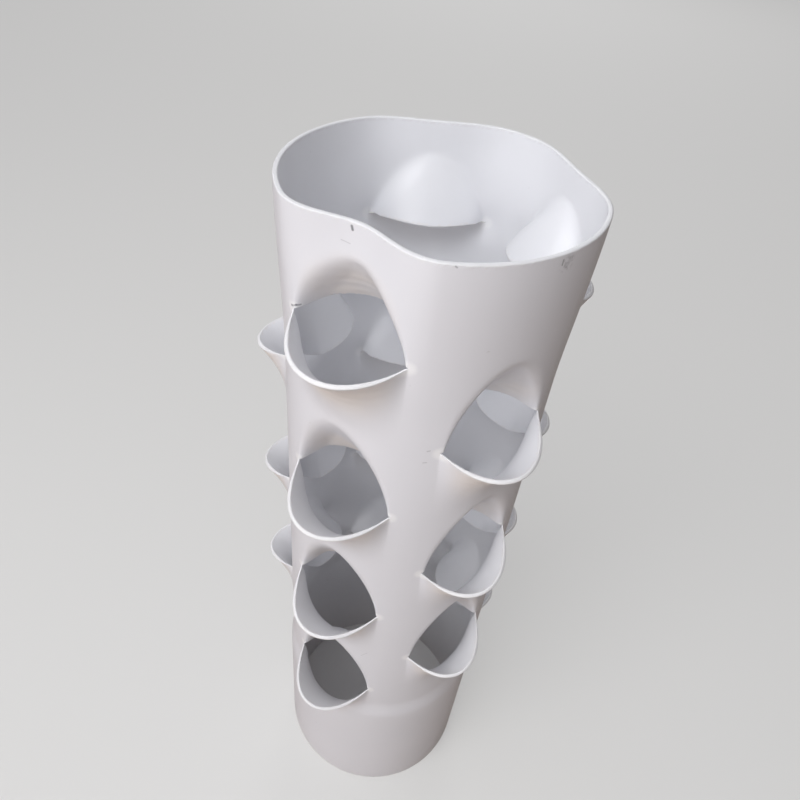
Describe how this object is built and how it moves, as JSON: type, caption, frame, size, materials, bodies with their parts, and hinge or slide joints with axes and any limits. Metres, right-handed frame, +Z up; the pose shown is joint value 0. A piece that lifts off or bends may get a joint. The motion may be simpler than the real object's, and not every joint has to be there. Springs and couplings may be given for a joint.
{
  "type": "vertical planter tower",
  "caption": "Upright plastic pipe, open at both ends, with staggered planting pockets formed in its wall as lipped mouths below pressed-in scoops.",
  "frame": {"origin": "the pipe's axis at its flat bottom face, on the floor it stands on", "axes": "+Z up along the pipe, -Y towards the front (the side that the picture shows), +X to the right seen from the front"},
  "size_m": [0.1717, 0.1716, 0.483],
  "materials": {
    "white_pvc": "semi-gloss, white with a slightly cool grey, faintly warm where it was heated"
  },
  "bodies": {
    "root": {"planter_tube": "white_pvc"}
  },
  "joints": []
}
